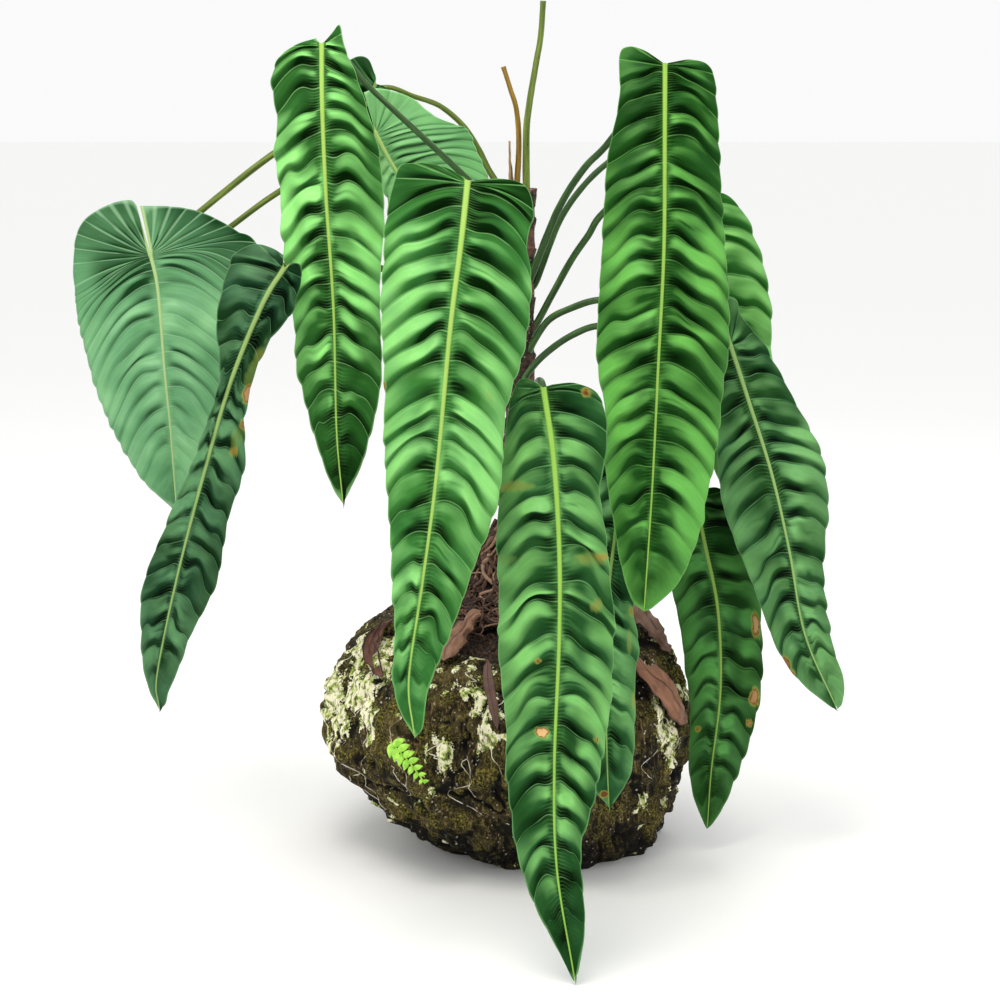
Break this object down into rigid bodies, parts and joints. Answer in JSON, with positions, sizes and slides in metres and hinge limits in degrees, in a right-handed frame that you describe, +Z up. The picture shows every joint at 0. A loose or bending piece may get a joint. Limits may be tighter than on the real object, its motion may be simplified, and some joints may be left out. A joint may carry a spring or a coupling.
{
  "type": "potted philodendron patriciae",
  "caption": "Aroid house plant with long pendent pleated leaves on arching stalks, rising from a scaly stem in a squat fibrous mossy planter.",
  "frame": {"origin": "on the surface that the planter stands on, on the axis of the planter's mouth", "axes": "+Z up along the plant's height, -Y towards the side that the leaves face, +X to the right seen from there"},
  "size_m": [0.9426, 0.7303, 1.0473],
  "materials": {
    "planter": "matte",
    "potting_mix": "matte",
    "roots": "matte",
    "stem": "matte",
    "blade_grey": "satin",
    "blade_bright": "satin",
    "blade_rich": "satin",
    "blade_dark": "satin",
    "petiole_olive": "satin",
    "petiole_green": "satin",
    "petiole_brown": "matte",
    "dry_sheath": "matte",
    "dead_leaf": "matte",
    "fern": "satin"
  },
  "bodies": {
    "root": {"planter": "planter", "potting_mix": "potting_mix", "root_mound": "roots", "stem": "stem", "blade_A": "blade_grey", "blade_B": "blade_dark", "blade_C": "blade_bright", "blade_D": "blade_rich", "blade_E": "blade_bright", "blade_F": "blade_rich", "blade_G": "blade_rich", "blade_H": "blade_rich", "blade_I": "blade_dark", "blade_J": "blade_dark", "blade_K": "blade_dark", "blade_L": "blade_dark", "blade_M": "blade_dark", "petiole_A": "petiole_olive", "petiole_B": "petiole_olive", "petiole_C": "petiole_green", "petiole_D": "petiole_green", "petiole_E": "petiole_olive", "petiole_F": "petiole_green", "petiole_G": "petiole_green", "petiole_H": "petiole_green", "petiole_I": "petiole_green", "petiole_J": "petiole_green", "petiole_K": "petiole_green", "petiole_L": "petiole_olive", "petiole_M": "petiole_olive", "cut_petiole_tall": "petiole_olive", "cut_petiole_short": "petiole_brown", "sheath": "dry_sheath", "dead_leaf_scroll": "dead_leaf", "dead_leaf_crumpled": "dead_leaf", "dead_leaf_strip": "dead_leaf", "dead_leaf_curled": "dead_leaf", "dead_leaf_smooth": "dead_leaf", "fern_frond": "fern"}
  },
  "joints": []
}
